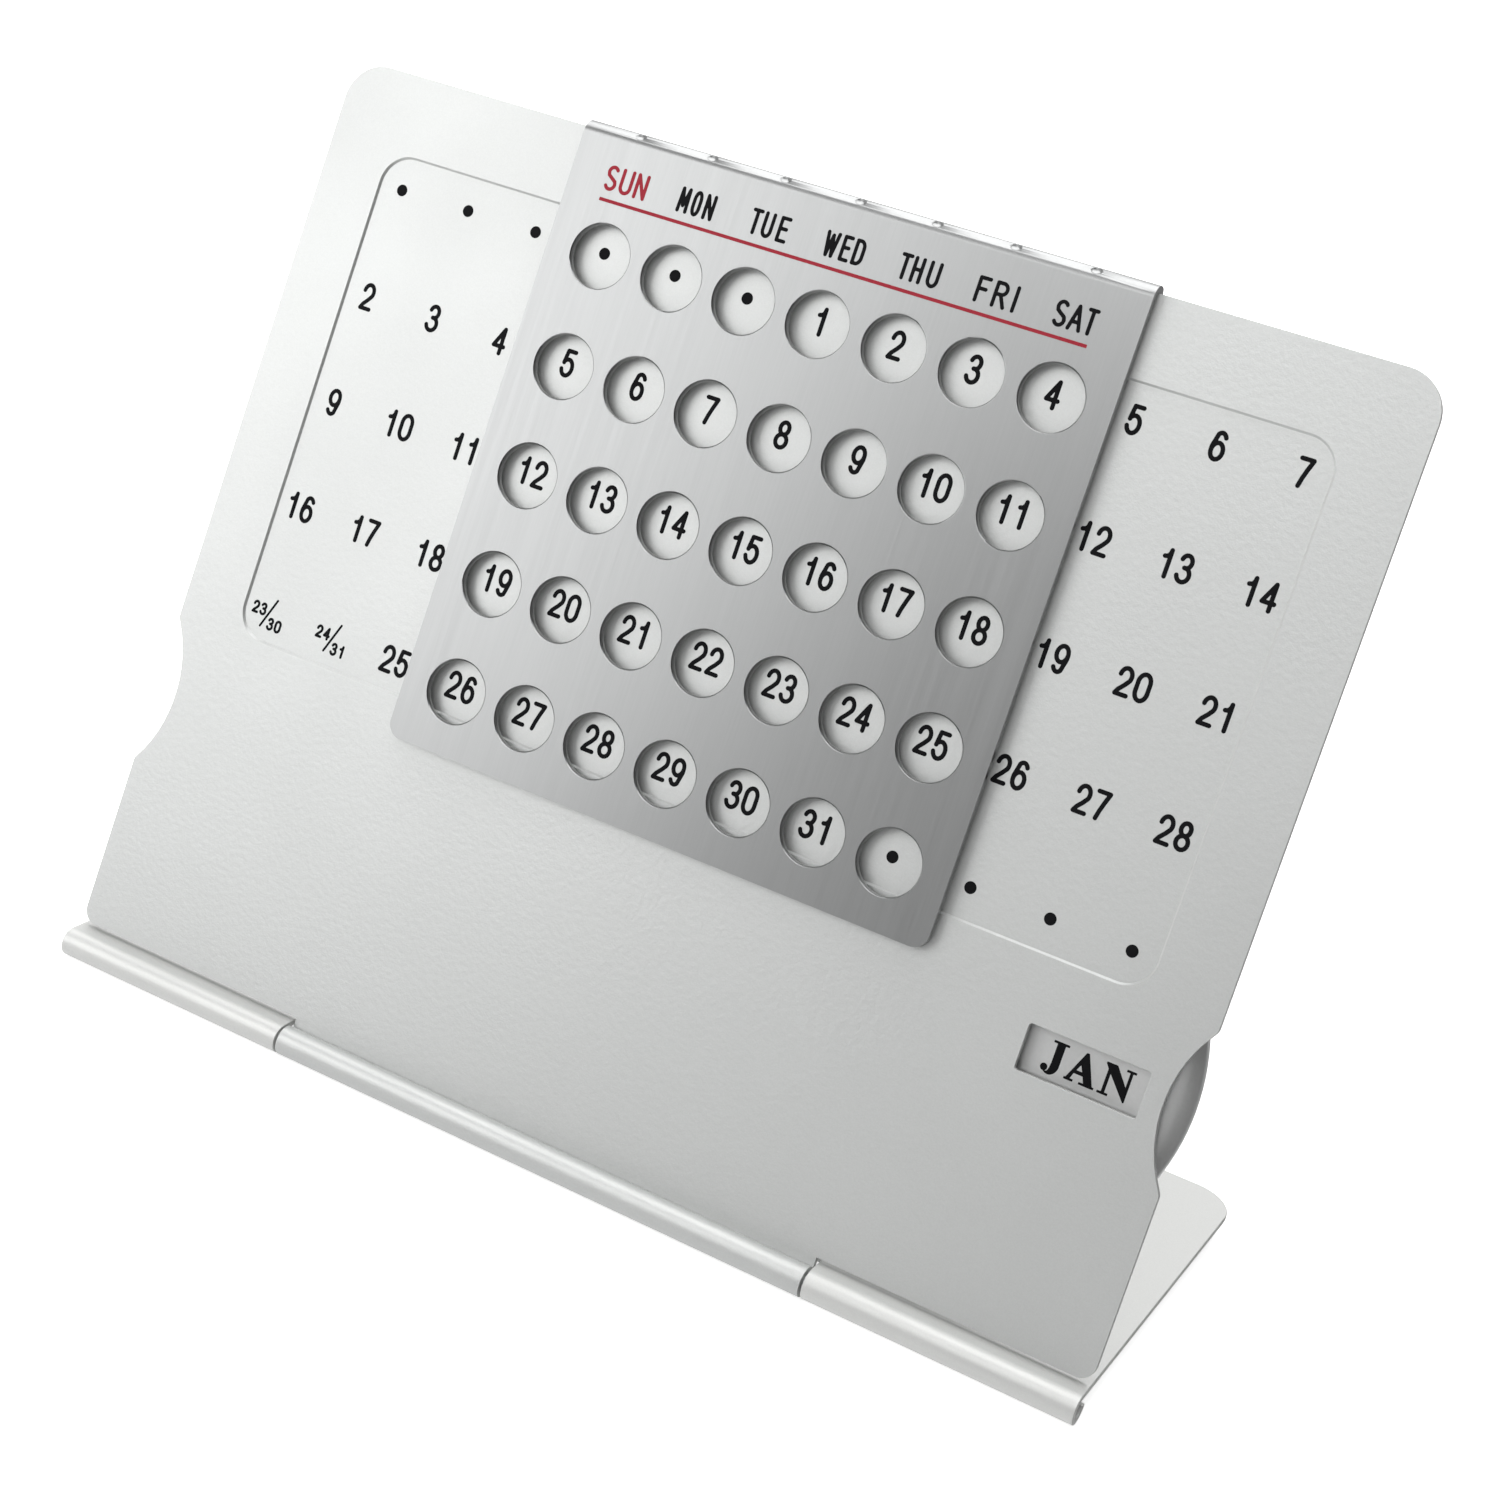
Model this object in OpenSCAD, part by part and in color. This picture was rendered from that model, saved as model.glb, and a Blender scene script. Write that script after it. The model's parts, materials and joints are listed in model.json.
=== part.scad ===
// Perpetual desk calendar: a folded sheet panel on a hinged leg, a pierced date
// slider over the printed number field and a month dial behind the panel.
// Millimetres. +Z up, -Y is the reading side, origin under the middle of the footprint.

/* [Sheet metal] */
// Thickness of the panel and leg sheet
sheet_t = 0.8; // [0.6:0.1:1.1]
// Thickness of the slider sheet
slider_t = 0.8; // [0.5:0.1:1.0]

/* [Front panel] */
// Width of the panel and of the leg
panel_w = 144.2; // [140:0.2:160]
// Height of the panel from its lower edge to its top edge
panel_h = 116.4; // [112:0.2:130]
// Lean of the panel behind the vertical when it stands, degrees
panel_lean = 17; // [12:0.5:22]
// Radius of the two upper corners
panel_top_r = 5; // [2:0.5:7]
// Radius of the two lower corners
panel_low_r = 2; // [1:0.5:2.5]

/* [Number field] */
// Distance between two columns
col_pitch = 10; // [9.6:0.1:10.2]
// Distance between two rows
row_pitch = 13.93; // [13:0.01:14.2]
// Width of the recessed field
field_w = 126.8; // [124:0.2:132]
// Height of the recessed field
field_h = 64; // [62:0.5:68]
// Distance from the top edge of the panel to the field
field_top = 9.8; // [8.5:0.1:12]
// Distance from the upper edge of the field to the first row
field_row_in = 4.3; // [4:0.1:6]
// Corner radius of the field
field_r = 4; // [2:0.5:6]
// Depth that the field is pressed back
field_depth = 0.3; // [0.2:0.05:0.5]
// Run of the sloping wall around the field
field_run = 0.25; // [0.2:0.05:1]

/* [Month window] */
// Width of the window
window_w = 14.9; // [12:0.1:16]
// Height of the window
window_h = 5.6; // [4.5:0.1:6.5]
// Corner radius of the window
window_r = 0.4; // [0.2:0.1:1]
// Distance from the side of the panel to the middle of the window
window_in = 12.8; // [11.5:0.05:13.5]
// Height of the window and the thumb scallops above the lower edge
window_up = 32.1; // [30:0.1:34]

/* [Thumb scallops] */
// Radius of the scallop in each side of the panel
scallop_r = 16.7; // [12:0.1:20]
// Depth of the scallop
scallop_depth = 3.05; // [2:0.05:4]
// Radius that softens the two ends of the scallop
scallop_ease = 1.2; // [0.5:0.1:2]

/* [Hinge] */
// Diameter of the hinge pin
pin_d = 2.1; // [1.8:0.1:2.4]
// Radial clearance of the pin in the rolled knuckles
pin_clear = 0.05; // [0.03:0.01:0.08]
// Distance that the pin stands back from the ends of the outer knuckles
pin_inset = 0.8; // [0.1:0.1:1.5]
// Length of the middle knuckle, rolled from the panel
knuckle_len = 74.8; // [60:0.2:90]
// Gap between neighbouring knuckles
knuckle_gap = 0.35; // [0.2:0.05:0.6]
// Angle that the panel sheet is rolled through
panel_wrap = 302; // [280:1:304]
// Angle that the leg sheet is rolled through
leg_wrap = 265; // [240:1:290]
// Gap between the lower panel edge and the leg that stops the lean
stop_gap = 0.3; // [0.2:0.05:0.5]

/* [Leg] */
// Length of the leg behind the hinge axis
leg_l = 56; // [50:0.5:65]
// Radius of the two far corners
leg_r = 5.5; // [2:0.5:8]
// Diameter of a foot pad where it meets the leg
foot_d = 8; // [6:0.5:10]
// Taper of a foot pad on its radius
foot_taper = 0.4; // [0.1:0.1:0.8]
// Distance of a foot pad from the side of the leg
foot_side_in = 12; // [8:0.5:16]
// Distance of a foot pad from the far edge of the leg
foot_end_in = 9; // [7:0.5:12]

/* [Date slider] */
// Width of the sheet beside the outer sight holes
slider_margin = 3.5; // [3:0.1:6]
// Number of day columns
slider_cols = 7; // [7:1:7]
// Number of week rows
slider_rows = 5; // [5:1:5]
// Height of the slider below the top edge of the panel
slider_drop = 78.45; // [76:0.05:80]
// Gap that keeps the slider off the face of the panel
slider_gap = 0.6; // [0.3:0.05:0.8]
// Clearance of the hook over the top edge and behind the panel
slider_clear = 0.1; // [0.05:0.01:0.2]
// Distance that the slider rests to the right of the middle of the panel
slider_shift = 0.4; // [-0.5:0.05:0.5]
// Diameter of a sight hole
hole_d = 7.9; // [7:0.1:8.4]
// Width of the broken edge round a sight hole
hole_break = 0.18; // [0.05:0.01:0.3]
// Distance of the holes below their number rows
hole_drop = 0.55; // [0:0.05:0.8]
// Inner radius of the rear fold; the front fold is larger by the gap
fold_r = 0.3; // [0.2:0.05:0.4]
// Length of the lip behind the panel
lip_len = 8; // [5:0.5:8.5]
// Radius of the free corners of the slider
slider_r = 2; // [1:0.5:4]
// Radius of the punch that presses the stiffening dimples in the fold
dimple_r = 1; // [0.8:0.1:1.4]
// Depth of the stiffening dimples
dimple_depth = 0.35; // [0.1:0.05:0.4]

/* [Month dial] */
// Radius of the dial
dial_r = 27; // [25:0.2:29]
// Distance of the dial rim inside the side of the panel
dial_in = 0.1; // [0:0.1:1]
// Thickness of the dial at its rim and hub
dial_t = 2.6; // [2:0.1:3.5]
// Thickness of the dial web that carries the month names
dial_web = 1.2; // [0.8:0.1:1.6]
// Width of the rounded shoulder of the dial
dial_round = 3; // [1:0.1:4]
// Width of the rim behind the web
dial_rim = 2.4; // [1.5:0.1:4]
// Radius of the dial hub
hub_r = 5.2; // [4.5:0.1:7]
// Number of ribs between hub and rim
dial_ribs = 6; // [4:1:8]
// Thickness of a rib
rib_t = 1; // [0.6:0.1:1.5]

/* [Dial pivot] */
// Diameter of the pivot stud
stud_d = 4; // [3:0.1:5]
// Radial clearance of the dial on the stud
stud_clear = 0.05; // [0.03:0.01:0.08]
// Radius of the stud flange
flange_r = 4.8; // [4:0.1:6]
// Thickness of the stud flange
flange_t = 0.4; // [0.3:0.05:0.6]
// Thickness of the slip washer
slip_t = 0.3; // [0.2:0.05:0.5]
// Radius of the slip washer
slip_r = 4.6; // [4:0.1:5.5]
// Axial play left between the parts on the stud
axial_play = 0.05; // [0.03:0.01:0.1]
// Thickness of the conical spring washer
spring_t = 0.3; // [0.2:0.05:0.4]
// Height of the cone of the spring washer
spring_cone = 0.35; // [0.2:0.05:0.5]
// Radius of the spring washer
spring_r = 4.4; // [4:0.1:5]
// Thickness of the retaining clip
clip_t = 0.4; // [0.3:0.05:0.6]
// Radius of the retaining clip
clip_r = 3.8; // [3.2:0.1:4.5]
// Depth of the clip groove in the stud
groove_depth = 0.6; // [0.4:0.05:0.8]
// Length of the stud behind the clip
stud_tail = 0.8; // [0.5:0.1:1.5]

/* [Hidden] */
$fn = 64;
cut = 1;                                        // overrun of a cutting solid

// hinge
roll_ri = pin_d / 2 + pin_clear;
roll_ro = roll_ri + sheet_t;
axis_y = -(leg_l - roll_ro) / 2;                // the footprint is centred on Y
axis_z = roll_ro;                               // the knuckles touch the desk

// panel, in its own frame: origin on the hinge axis, Y up the panel, Z to the reader
panel_back = -roll_ro;
panel_front = panel_back + sheet_t;
edge_up = (roll_ro * (1 + sin(panel_lean)) + stop_gap) / cos(panel_lean);
panel_top = edge_up + panel_h;
window_x = panel_w / 2 - window_in;
window_y = edge_up + window_up;
field_y = panel_top - field_top - field_h / 2;
first_row_y = panel_top - field_top - field_row_in;

// slider
slider_back = panel_front + slider_gap;
slider_front = slider_back + slider_t;
lip_front = panel_back - slider_clear;
lip_back = lip_front - slider_t;
fold_back_ro = fold_r + slider_t;
fold_front_ro = slider_gap + fold_back_ro;
slider_top = panel_top + slider_clear + slider_t;
slider_low = panel_top - slider_drop;
fold_low = slider_top - fold_front_ro;
hole_span = (slider_cols - 1) * col_pitch / 2;
slider_w = 2 * (hole_span + hole_d / 2 + slider_margin);

// dial and pivot, in the panel frame
dial_x = panel_w / 2 - dial_in - dial_r;
dial_y = window_y;
flange_back = panel_back - flange_t;
slip_back = flange_back - slip_t;
dial_front = slip_back - axial_play;
dial_back = dial_front - dial_t;
spring_front = dial_back - axial_play;
spring_back = spring_front - spring_cone - spring_t;
clip_front = spring_back - axial_play;
clip_back = clip_front - clip_t;
stud_back = clip_back - axial_play - stud_tail;
stud_r = stud_d / 2;
groove_r = stud_r - groove_depth;

module on_panel() {
    translate([0, axis_y, axis_z]) rotate([90 - panel_lean, 0, 0]) children();
}

module on_dial() {
    on_panel() translate([dial_x, dial_y, 0]) children();
}

// Lays a profile drawn in the YZ plane along X, centred on x
module along_x(len, x = 0) {
    translate([x - len / 2, 0, 0]) rotate([90, 0, 90]) linear_extrude(len) children();
}

// Rectangle with its own radius for the upper and the lower corners
module rounded_plate_2d(w, h, r_up, r_low) {
    union() {
        translate([-w / 2, r_low]) square([w, h - r_low - r_up]);
        translate([-w / 2 + r_low, 0]) square([w - 2 * r_low, h / 2]);
        translate([-w / 2 + r_up, h / 2]) square([w - 2 * r_up, h / 2]);
        for (s = [-1, 1]) {
            translate([s * (w / 2 - r_low), r_low]) circle(r = r_low);
            translate([s * (w / 2 - r_up), h - r_up]) circle(r = r_up);
        }
    }
}

// Rounded slab whose walls slope in by run over its depth, wide face at z = 0
module drafted_slab(w, h, r, depth, run) {
    module wall_profile(span) {
        polygon([[-span / 2, 0], [span / 2, 0], [span / 2 - run, -depth], [-span / 2 + run, -depth]]);
    }
    union() {
        along_x(w - 2 * r) wall_profile(h);
        rotate([0, 0, 90]) along_x(h - 2 * r) wall_profile(w);
        for (sx = [-1, 1], sy = [-1, 1])
            translate([sx * (w / 2 - r), sy * (h / 2 - r), -depth]) cylinder(h = depth, r1 = r - run, r2 = r);
    }
}

// Cross-section of a rolled knuckle: the sheet arrives along +X over the top of the pin
module knuckle_2d(wrap) {
    open_from = wrap - 270;
    reach = 2 * roll_ro;
    difference() {
        circle(r = roll_ro);
        circle(r = roll_ri);
        polygon([
            [0, 0],
            for (k = [0:3]) let (a = open_from + (90 - open_from) * k / 3) reach * [cos(a), sin(a)]
        ]);
    }
}

// Thumb scallop: a round bite whose two ends are eased into the panel side
module scallop_2d() {
    bite_x = panel_w / 2 - scallop_depth + scallop_r;
    ease_x = panel_w / 2 - scallop_ease;
    ease_y = sqrt(pow(scallop_r + scallop_ease, 2) - pow(bite_x - ease_x, 2));
    translate([bite_x, 0]) circle(r = scallop_r);
    for (s = [-1, 1]) difference() {
        polygon([[ease_x, s * ease_y], [bite_x, s * ease_y], [bite_x, 0]]);
        translate([ease_x, s * ease_y]) circle(r = scallop_ease);
    }
}

module panel_blank_2d() {
    difference() {
        translate([0, edge_up]) rounded_plate_2d(panel_w, panel_h, panel_top_r, panel_low_r);
        for (s = [0, 1]) mirror([s, 0]) translate([0, window_y]) scallop_2d();
        translate([window_x, window_y - window_h / 2])
            rounded_plate_2d(window_w, window_h, window_r, window_r);
    }
}

// Solid between a sheet face and the number field pressed back from it
module field_press() {
    translate([0, field_y, 0]) drafted_slab(field_w, field_h, field_r, field_depth, field_run);
}

module front_panel() {
    color("lightgrey") on_panel() difference() {
        union() {
            translate([0, 0, panel_back]) linear_extrude(sheet_t) panel_blank_2d();
            translate([0, 0, panel_back]) field_press();
            translate([-knuckle_len / 2, 0, panel_back]) cube([knuckle_len, edge_up + cut, sheet_t]);
            along_x(knuckle_len) mirror([0, 1]) knuckle_2d(panel_wrap);
        }
        translate([0, 0, panel_front]) field_press();
    }
}

// Outer knuckles and plate of the leg, with room cut for the middle knuckle
module rear_leg() {
    side_len = (panel_w - knuckle_len) / 2 - knuckle_gap;
    side_x = (panel_w - side_len) / 2;
    tongue_y = (roll_ro + roll_ro * sin(panel_lean)) / cos(panel_lean) * sin(panel_lean)
        + roll_ro * cos(panel_lean);
    slot_y = tongue_y + 2 * stop_gap;
    slot_w = knuckle_len + 2 * knuckle_gap;
    color("gainsboro") translate([0, axis_y, axis_z]) {
        translate([0, 0, roll_ri]) linear_extrude(sheet_t) difference() {
            translate([-panel_w / 2, 0]) square([panel_w, leg_l]);
            translate([-slot_w / 2, -cut]) square([slot_w, slot_y + cut]);
            for (s = [-1, 1]) translate([s * (panel_w / 2 - leg_r), leg_l - leg_r]) difference() {
                translate([min(0, s * (leg_r + cut)), 0]) square(leg_r + cut);
                circle(r = leg_r);
            }
        }
        for (s = [-1, 1]) along_x(side_len, s * side_x) knuckle_2d(leg_wrap);
    }
}

module hinge_pin() {
    color("silver") translate([0, axis_y, axis_z])
        along_x(panel_w - 2 * pin_inset) circle(d = pin_d);
}

module foot_pad(side) {
    foot_h = axis_z + roll_ri;
    color("dimgrey")
        translate([side * (panel_w / 2 - foot_side_in), axis_y + leg_l - foot_end_in, 0])
            cylinder(h = foot_h, r1 = foot_d / 2 - foot_taper, r2 = foot_d / 2);
}

module foot_pad_left() { foot_pad(-1); }

module foot_pad_right() { foot_pad(1); }

// Outline of the hook over the panel edge, inset from its outside, X up the panel and Y to the reader
module hook_outline_2d(inset, low) {
    top = slider_top - inset;
    front_r = fold_front_ro - inset;
    back_r = fold_back_ro - inset;
    front_z = slider_front - fold_front_ro;
    back_z = lip_back + fold_back_ro;
    translate([low, back_z]) square([top - low, front_z - back_z]);
    translate([low, front_z]) square([top - front_r - low, front_r]);
    translate([low, back_z - back_r]) square([top - back_r - low, back_r]);
    translate([top - front_r, front_z]) circle(r = front_r);
    translate([top - back_r, back_z]) circle(r = back_r);
}

module hook_2d() {
    lap = slider_t;
    difference() {
        hook_outline_2d(0, fold_low - lap);
        hook_outline_2d(slider_t, fold_low - lap - cut);
    }
}

// Flat sheet of the slider between its hook and a free edge with rounded corners
module slider_sheet_2d(free_edge) {
    len = fold_low - free_edge;
    translate([-slider_w / 2, free_edge + slider_r]) square([slider_w, len - slider_r]);
    translate([-slider_w / 2 + slider_r, free_edge]) square([slider_w - 2 * slider_r, slider_r]);
    for (s = [-1, 1]) translate([s * (slider_w / 2 - slider_r), free_edge + slider_r]) circle(r = slider_r);
}

// Cutter for one sight hole with a broken front edge
module sight_hole() {
    hole_r = hole_d / 2;
    rotate_extrude() polygon([
        [0, slider_back - cut],
        [hole_r, slider_back - cut],
        [hole_r, slider_front - hole_break],
        [hole_r + hole_break, slider_front],
        [hole_r + hole_break, slider_front + cut],
        [0, slider_front + cut]
    ]);
}

module date_slider() {
    dimple_reach = (fold_front_ro + dimple_r - dimple_depth) * sin(45);
    color("darkgrey") on_panel() translate([slider_shift, 0, 0]) difference() {
        union() {
            translate([0, 0, slider_back]) linear_extrude(slider_t) slider_sheet_2d(slider_low);
            translate([0, 0, lip_back]) linear_extrude(slider_t)
                slider_sheet_2d(slider_top - slider_t - lip_len);
            along_x(slider_w) hook_2d();
        }
        for (c = [0:slider_cols - 1], r = [0:slider_rows - 1])
            translate([c * col_pitch - hole_span, first_row_y - hole_drop - r * row_pitch, 0]) sight_hole();
        for (c = [0:slider_cols - 1])
            translate([
                c * col_pitch - hole_span,
                fold_low + dimple_reach,
                slider_front - fold_front_ro + dimple_reach
            ]) sphere(r = dimple_r, $fn = 24);
    }
}

// Revolved profile of the dial: face, rounded shoulder, rim, web and hub
module dial_profile_2d() {
    bore_r = stud_r + stud_clear;
    shoulder_z = -dial_t + 0.4 * dial_t;
    polygon([
        [bore_r, 0],
        [dial_r - dial_round, 0],
        for (a = [15:15:90]) [dial_r - dial_round + dial_round * sin(a), shoulder_z * (1 - cos(a))],
        [dial_r, -dial_t],
        [dial_r - dial_rim, -dial_t],
        [dial_r - dial_rim, -dial_web],
        [hub_r, -dial_web],
        [hub_r, -dial_t],
        [bore_r, -dial_t]
    ]);
}

module month_dial() {
    rib_len = dial_r - dial_rim - hub_r + 2 * rib_t;
    color("silver") on_dial() translate([0, 0, dial_front]) union() {
        rotate_extrude() dial_profile_2d();
        for (k = [0:dial_ribs - 1]) rotate(k * 360 / dial_ribs)
            translate([hub_r - rib_t, -rib_t / 2, -dial_t])
                cube([rib_len, rib_t, dial_t - dial_web + rib_t / 2]);
    }
}

module dial_stud() {
    color("lightsteelblue") on_dial() difference() {
        union() {
            translate([0, 0, flange_back]) cylinder(h = flange_t, r = flange_r);
            translate([0, 0, stud_back]) cylinder(h = panel_back - stud_back, r = stud_r);
        }
        translate([0, 0, clip_back - axial_play]) difference() {
            cylinder(h = clip_t + 2 * axial_play, r = stud_r + cut);
            cylinder(h = clip_t + 2 * axial_play, r = groove_r);
        }
    }
}

module slip_washer() {
    color("white") on_dial() translate([0, 0, slip_back]) difference() {
        cylinder(h = slip_t, r = slip_r);
        translate([0, 0, -cut]) cylinder(h = slip_t + 2 * cut, r = stud_r + stud_clear);
    }
}

module spring_washer() {
    bore_r = stud_r + stud_clear;
    color("slategrey") on_dial() rotate_extrude() polygon([
        [bore_r, spring_front - spring_t - spring_cone],
        [bore_r, spring_front - spring_cone],
        [spring_r, spring_front],
        [spring_r, spring_front - spring_t]
    ]);
}

// E-shaped clip: three teeth reach into the stud groove, the mouth opens downwards
module retaining_clip() {
    bite_r = groove_r + stud_clear;
    throat_r = stud_r + 2 * stud_clear + groove_depth / 2;
    tooth_w = stud_r * 0.9;
    color("dimgrey") on_dial() translate([0, 0, clip_back]) linear_extrude(clip_t) difference() {
        circle(r = clip_r);
        circle(r = bite_r);
        difference() {
            circle(r = throat_r);
            for (a = [0, 90, 180]) rotate(a) translate([0, -tooth_w / 2]) square([clip_r, tooth_w]);
        }
        translate([-bite_r, -clip_r - cut]) square([2 * bite_r, clip_r + cut]);
    }
}

front_panel();
rear_leg();
hinge_pin();
foot_pad_left();
foot_pad_right();
date_slider();
month_dial();
dial_stud();
slip_washer();
spring_washer();
retaining_clip();
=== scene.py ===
"""Looks of the perpetual desk calendar: finishes, printed ink, studio light and camera."""

import json
import math

import bmesh
import bpy
import numpy as np
from mathutils import Matrix, Vector


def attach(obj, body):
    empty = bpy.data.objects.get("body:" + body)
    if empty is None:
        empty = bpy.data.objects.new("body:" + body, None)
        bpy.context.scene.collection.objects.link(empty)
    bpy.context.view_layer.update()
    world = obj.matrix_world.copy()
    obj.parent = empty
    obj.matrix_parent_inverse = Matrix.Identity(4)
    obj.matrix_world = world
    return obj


MM = 0.001

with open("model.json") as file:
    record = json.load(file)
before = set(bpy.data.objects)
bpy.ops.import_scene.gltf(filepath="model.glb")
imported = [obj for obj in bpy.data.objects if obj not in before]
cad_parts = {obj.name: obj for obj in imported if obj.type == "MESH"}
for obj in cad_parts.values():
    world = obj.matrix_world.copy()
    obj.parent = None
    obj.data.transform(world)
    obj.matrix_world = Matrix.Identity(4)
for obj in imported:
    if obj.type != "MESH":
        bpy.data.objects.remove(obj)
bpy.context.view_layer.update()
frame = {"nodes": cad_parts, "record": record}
NODES = frame["nodes"]

# ---------------------------------------------------------------- places, mm
# The panel frame: origin on the hinge axis, X right, Y up the panel, Z to the reader.
LEAN = math.radians(17)
AXIS = Vector((0, -27.05, 1.9))
PANEL = Matrix.Translation(AXIS * MM) @ Matrix.Rotation(math.pi / 2 - LEAN, 4, "X")
PANEL_FRONT = -1.1
FIELD_FACE = -1.4
SLIDER_FACE = 0.3
DIAL_FACE = -2.65
DIAL_CENTRE = (45.0, 34.98)
COL_PITCH, ROW_PITCH = 10.0, 13.93
FIRST_ROW = 105.18
INK_T = 0.014
TRACE_STEP = 0.055  # grid on which digits and letters are traced
CAP_STEP = 0.05  # the same for the serif capitals
RULE_STEP = 0.08  # and for the red rule


def panel_point(u, v, w):
    """A point given in the panel frame in mm, in the row frame in metres."""
    return PANEL @ (Vector((u, v, w)) * MM)


# ---------------------------------------------------------------- ink shapes
# A shape is a function of grid points that is negative inside, so strokes join without overlap.
def box(x0, y0, x1, y1):
    """An upright rectangle between two corners."""
    return lambda x, y: np.maximum(np.maximum(x0 - x, x - x1), np.maximum(y0 - y, y - y1))


def oval(cx, cy, rx, ry):
    """An ellipse from its centre and radii."""
    return lambda x, y: (np.hypot((x - cx) / rx, (y - cy) / ry) - 1) * min(rx, ry)


def poly(*pts):
    """Signed distance to a closed polygon."""
    ends = list(zip(pts, pts[1:] + pts[:1]))

    def field(x, y):
        dist = np.full(x.shape, 1e9)
        sign = np.ones(x.shape)
        for (ax, ay), (bx, by) in ends:
            dx, dy = bx - ax, by - ay
            t = np.clip(((x - ax) * dx + (y - ay) * dy) / (dx * dx + dy * dy), 0, 1)
            dist = np.minimum(dist, np.hypot(x - ax - t * dx, y - ay - t * dy))
            if ay != by:
                hit = ((ay > y) != (by > y)) & (x < dx * (y - ay) / dy + ax)
                sign = np.where(hit, -sign, sign)
        return dist * sign

    return field


def brush(path, widths):
    """A stroke along a polyline. widths is its width at even steps along the path."""
    pts = np.array(path, float)
    along = np.concatenate([[0], np.cumsum(np.hypot(*np.diff(pts, axis=0).T))])
    half = np.interp(along / along[-1], np.linspace(0, 1, len(widths)), widths) / 2

    def field(x, y):
        dist = np.full(x.shape, 1e9)
        for (ax, ay), (bx, by), ra, rb in zip(pts, pts[1:], half, half[1:]):
            dx, dy = bx - ax, by - ay
            t = np.clip(((x - ax) * dx + (y - ay) * dy) / (dx * dx + dy * dy + 1e-12), 0, 1)
            dist = np.minimum(dist, np.hypot(x - ax - t * dx, y - ay - t * dy) - ra - t * (rb - ra))
        return dist

    return field


def join(*parts):
    """All parts together."""
    return lambda x, y: np.minimum.reduce([p(x, y) for p in parts])


def cut(part, *holes):
    """A part without the holes."""
    return lambda x, y: np.maximum.reduce([part(x, y)] + [-h(x, y) for h in holes])


def both(*parts):
    """Only what lies in every part."""
    return lambda x, y: np.maximum.reduce([p(x, y) for p in parts])


def arc(cx, cy, rx, ry, start, end, n=18):
    """Points of an elliptical arc, angles in degrees."""
    angles = np.radians(np.linspace(start, end, n))
    return [(cx + rx * math.cos(a), cy + ry * math.sin(a)) for a in angles]


def trace(field, x0, y0, x1, y1, step):
    """Closed loops where the field crosses zero, by marching squares."""
    nx, ny = int((x1 - x0) / step) + 2, int((y1 - y0) / step) + 2
    gx, gy = np.meshgrid(x0 + step * np.arange(nx), y0 + step * np.arange(ny))
    f = field(gx, gy)
    f[f == 0] = 1e-9
    inside = f < 0
    follow, where = {}, {}
    busy = inside[:-1, :-1].astype(int) + inside[1:, :-1] + inside[:-1, 1:] + inside[1:, 1:]
    for j, i in zip(*np.nonzero((busy > 0) & (busy < 4))):
        ring = [(i, j), (i + 1, j), (i + 1, j + 1), (i, j + 1)]
        leaves, enters = [], []
        for k in range(4):
            a, b = ring[k], ring[(k + 1) % 4]
            fa, fb = f[a[1], a[0]], f[b[1], b[0]]
            if (fa < 0) != (fb < 0):
                key = (min(a, b), max(a, b))
                t = fa / (fa - fb)
                across, up = a[0] + t * (b[0] - a[0]), a[1] + t * (b[1] - a[1])
                where[key] = (x0 + step * across, y0 + step * up)
                (leaves if fa < 0 else enters).append((k, key))
        for k, key in leaves:
            after = min(enters, key=lambda e: (e[0] - k) % 4)
            follow[key] = after[1]
    loops = []
    while follow:
        key = next(iter(follow))
        loop = []
        while key in follow:
            loop.append(where[key])
            key = follow.pop(key)
        loops.append(thin_out(loop))
    return [p for p in loops if len(p) > 2]


def thin_out(loop, tol=0.004):
    """Drops the points of a closed loop that lie within tol of a straight line."""
    pts = np.array(loop)
    far = int(np.argmax(np.hypot(*(pts - pts[0]).T)))
    keep = {0, far}
    spans = [(0, far), (far, len(pts))]
    while spans:
        a, b = spans.pop()
        if b - a < 2:
            continue
        p, q = pts[a], pts[b % len(pts)]
        d = q - p
        rel = pts[a + 1 : b] - p
        off = np.abs(rel[:, 0] * d[1] - rel[:, 1] * d[0]) / (np.hypot(*d) + 1e-12)
        k = int(np.argmax(off))
        if off[k] > tol:
            keep.add(a + 1 + k)
            spans += [(a, a + 1 + k), (a + 1 + k, b)]
    return [tuple(pts[k]) for k in sorted(keep)]


def slab_of(loops):
    """The triangles that fill outline loops, as (points, loops of indices, triangles)."""
    bm = bmesh.new()
    rings = []
    for loop in loops:
        verts = [bm.verts.new((x, y, 0)) for x, y in loop]
        for a, b in zip(verts, verts[1:] + verts[:1]):
            bm.edges.new((a, b))
        rings.append(verts)
    bmesh.ops.triangle_fill(bm, use_beauty=True, edges=bm.edges[:], normal=(0, 0, 1))
    bm.verts.index_update()
    bm.normal_update()
    points = [(v.co.x, v.co.y) for v in bm.verts]
    tris = []
    for face in bm.faces:
        ids = [v.index for v in face.verts]
        tris.append(ids if face.normal.z > 0 else ids[::-1])
    made = (points, [[v.index for v in ring] for ring in rings], tris)
    bm.free()
    return made


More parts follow.
